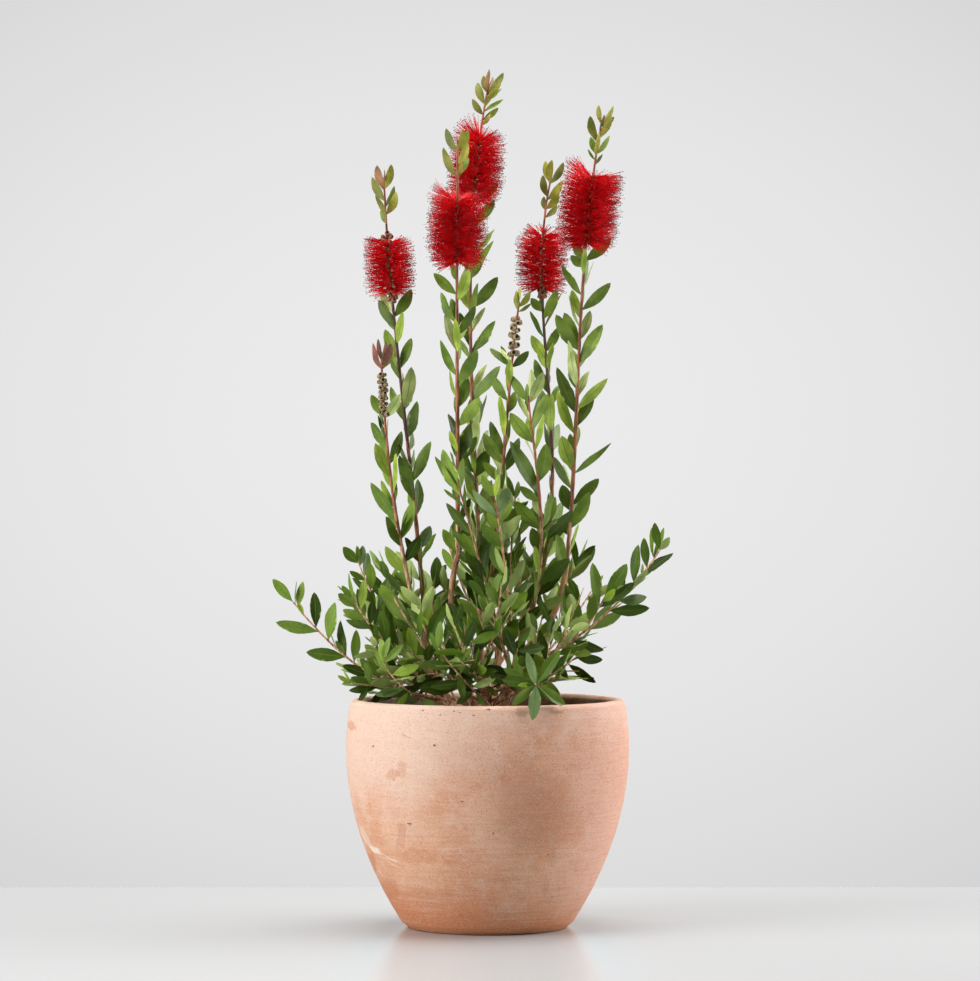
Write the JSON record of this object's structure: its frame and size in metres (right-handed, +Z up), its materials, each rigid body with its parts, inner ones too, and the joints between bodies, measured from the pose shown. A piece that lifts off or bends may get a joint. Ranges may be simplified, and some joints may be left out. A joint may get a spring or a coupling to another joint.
{
  "type": "potted bottlebrush shrub",
  "caption": "Upright flowering bottlebrush shrub with red brushes on tall leafy shoots, growing in a round terracotta pot.",
  "frame": {"origin": "centre of the pot's flat underside", "axes": "+Z up along the pot's axis, -Y towards the front view"},
  "size_m": [0.4138, 0.333, 0.913],
  "materials": {
    "terracotta": "matte",
    "soil": "matte",
    "bark": "matte",
    "foliage": "matte"
  },
  "bodies": {
    "root": {"pot": "terracotta", "soil": "soil", "root_crown": "bark", "limb_left": "bark", "limb_middle_left": "bark", "limb_middle": "bark", "limb_right": "bark", "limb_far_right": "bark", "limb_back": "bark", "limb_front": "bark", "flower_shoot_left": "foliage", "flower_shoot_front": "foliage", "flower_shoot_top": "foliage", "flower_shoot_back": "foliage", "flower_shoot_right": "foliage", "fruit_shoot_left": "foliage", "fruit_shoot_middle": "foliage", "leaf_shoot_right": "foliage", "leaf_shoot_middle": "foliage", "leaf_shoot_middle_left": "foliage", "leaf_shoot_middle_back": "foliage", "leaf_shoot_left": "foliage", "leaf_shoot_short_left": "foliage", "leaf_shoot_short_right": "foliage", "leaf_shoot_back": "foliage", "leaf_shoot_back_left": "foliage", "leaf_shoot_back_right": "foliage", "low_branch_left_far": "foliage", "low_branch_left_high": "foliage", "low_branch_left_middle": "foliage", "low_branch_left_rim": "foliage", "low_branch_left_back": "foliage", "low_branch_front_left": "foliage", "low_branch_front": "foliage", "low_branch_front_middle": "foliage", "low_branch_front_rim": "foliage", "low_branch_front_right": "foliage", "low_branch_right_far": "foliage", "low_branch_right_low": "foliage", "low_branch_right_back": "foliage", "low_branch_back": "foliage", "low_branch_back_left": "foliage"}
  },
  "joints": []
}
